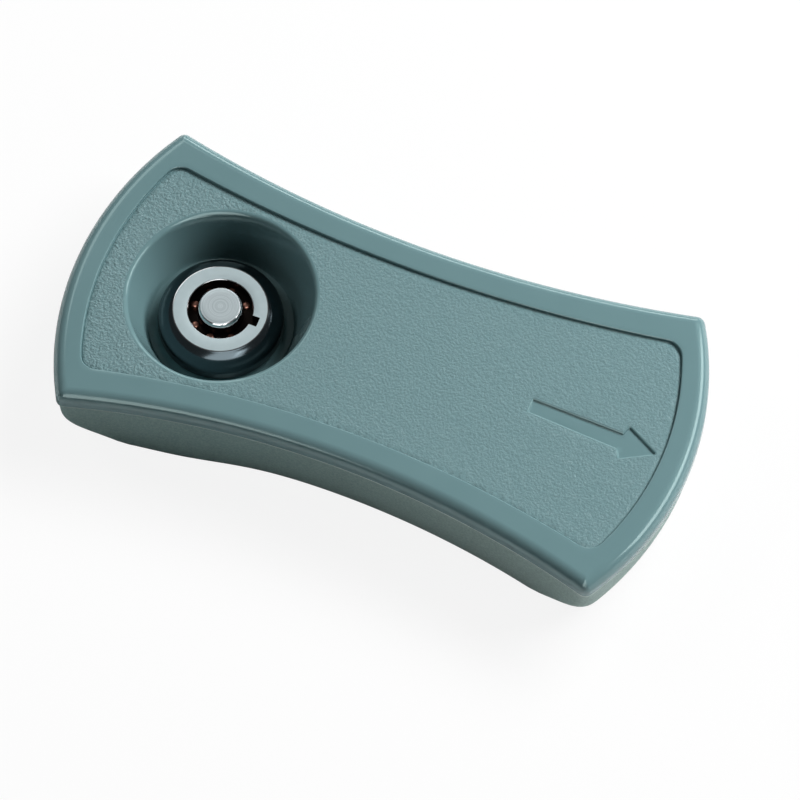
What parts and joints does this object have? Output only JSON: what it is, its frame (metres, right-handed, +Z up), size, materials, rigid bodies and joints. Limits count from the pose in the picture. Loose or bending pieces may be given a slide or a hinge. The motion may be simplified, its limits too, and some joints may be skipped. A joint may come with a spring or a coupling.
{
  "type": "sliding hatch lock",
  "caption": "Waisted moulded cover with a tubular key lock in a round well, sliding on a bolted base plate to draw a latch tongue.",
  "frame": {"origin": "middle of the footprint, on the surface that the base plate is bolted to", "axes": "+X along the arrow on the cover, the way the cover slides out; +Z up, out of the cover's face"},
  "size_m": [0.0992, 0.0494, 0.016],
  "materials": {
    "cover_plastic": "moulded, satin rim, fine leather grain in the sunk panel",
    "plated_steel": "stamped and zinc plated",
    "liner_plastic": "plain extruded",
    "screw_steel": "turned and plated",
    "insert_brass": "turned",
    "seal_rubber": "dull black",
    "bush_bronze": "sintered",
    "lock_chrome": "polished side, satin ring face",
    "plug_steel": "turned face with fine rings, polished bevel",
    "pin_brass": "turned",
    "spring_steel": "drawn"
  },
  "bodies": {
    "base": {"base_plate": "plated_steel"},
    "cover": {"cover_shell": "cover_plastic", "left_rail": "plated_steel", "right_rail": "plated_steel", "left_liner": "liner_plastic", "right_liner": "liner_plastic", "rail_screws": "screw_steel", "tongue_screws": "screw_steel", "rail_inserts": "insert_brass", "tongue_inserts": "insert_brass", "locking_tongue": "plated_steel", "nose_bumper": "seal_rubber", "stop_pin": "screw_steel", "stop_bush": "bush_bronze", "lock_barrel": "lock_chrome", "pin_sleeve": "insert_brass", "sleeve_pin": "screw_steel", "pin_springs": "spring_steel", "head_gasket": "seal_rubber", "barrel_clip": "spring_steel"},
    "plug": {"lock_plug": "plug_steel", "stop_washer": "screw_steel", "cam": "plated_steel", "cam_screw": "screw_steel"},
    "key_pins": {"key_pins": "pin_brass"},
    "driver_pins": {"driver_pins": "pin_brass"}
  },
  "joints": [
    {"name": "cover_slide", "type": "slide", "parent": "base", "child": "cover", "axis": [1, 0, 0], "range_m": [0, 0.014]},
    {"name": "plug_turn", "type": "hinge", "parent": "cover", "child": "plug", "pos_m": [-0.0264, 0, 0.006], "axis": [0, 0, 1], "range_deg": [-90, 0]},
    {"name": "key_pins_press", "type": "slide", "parent": "plug", "child": "key_pins", "axis": [0, 0, -1], "range_m": [0, 0.001], "stiffness_N_per_m": 400, "springref_m": -0.002},
    {"name": "driver_pins_press", "type": "slide", "parent": "cover", "child": "driver_pins", "axis": [0, 0, -1], "range_m": [0, 0.001], "deforming": ["pin_springs"]}
  ],
  "couplings": [
    {"joint": "driver_pins_press", "follows": "key_pins_press", "ratio": 1}
  ]
}
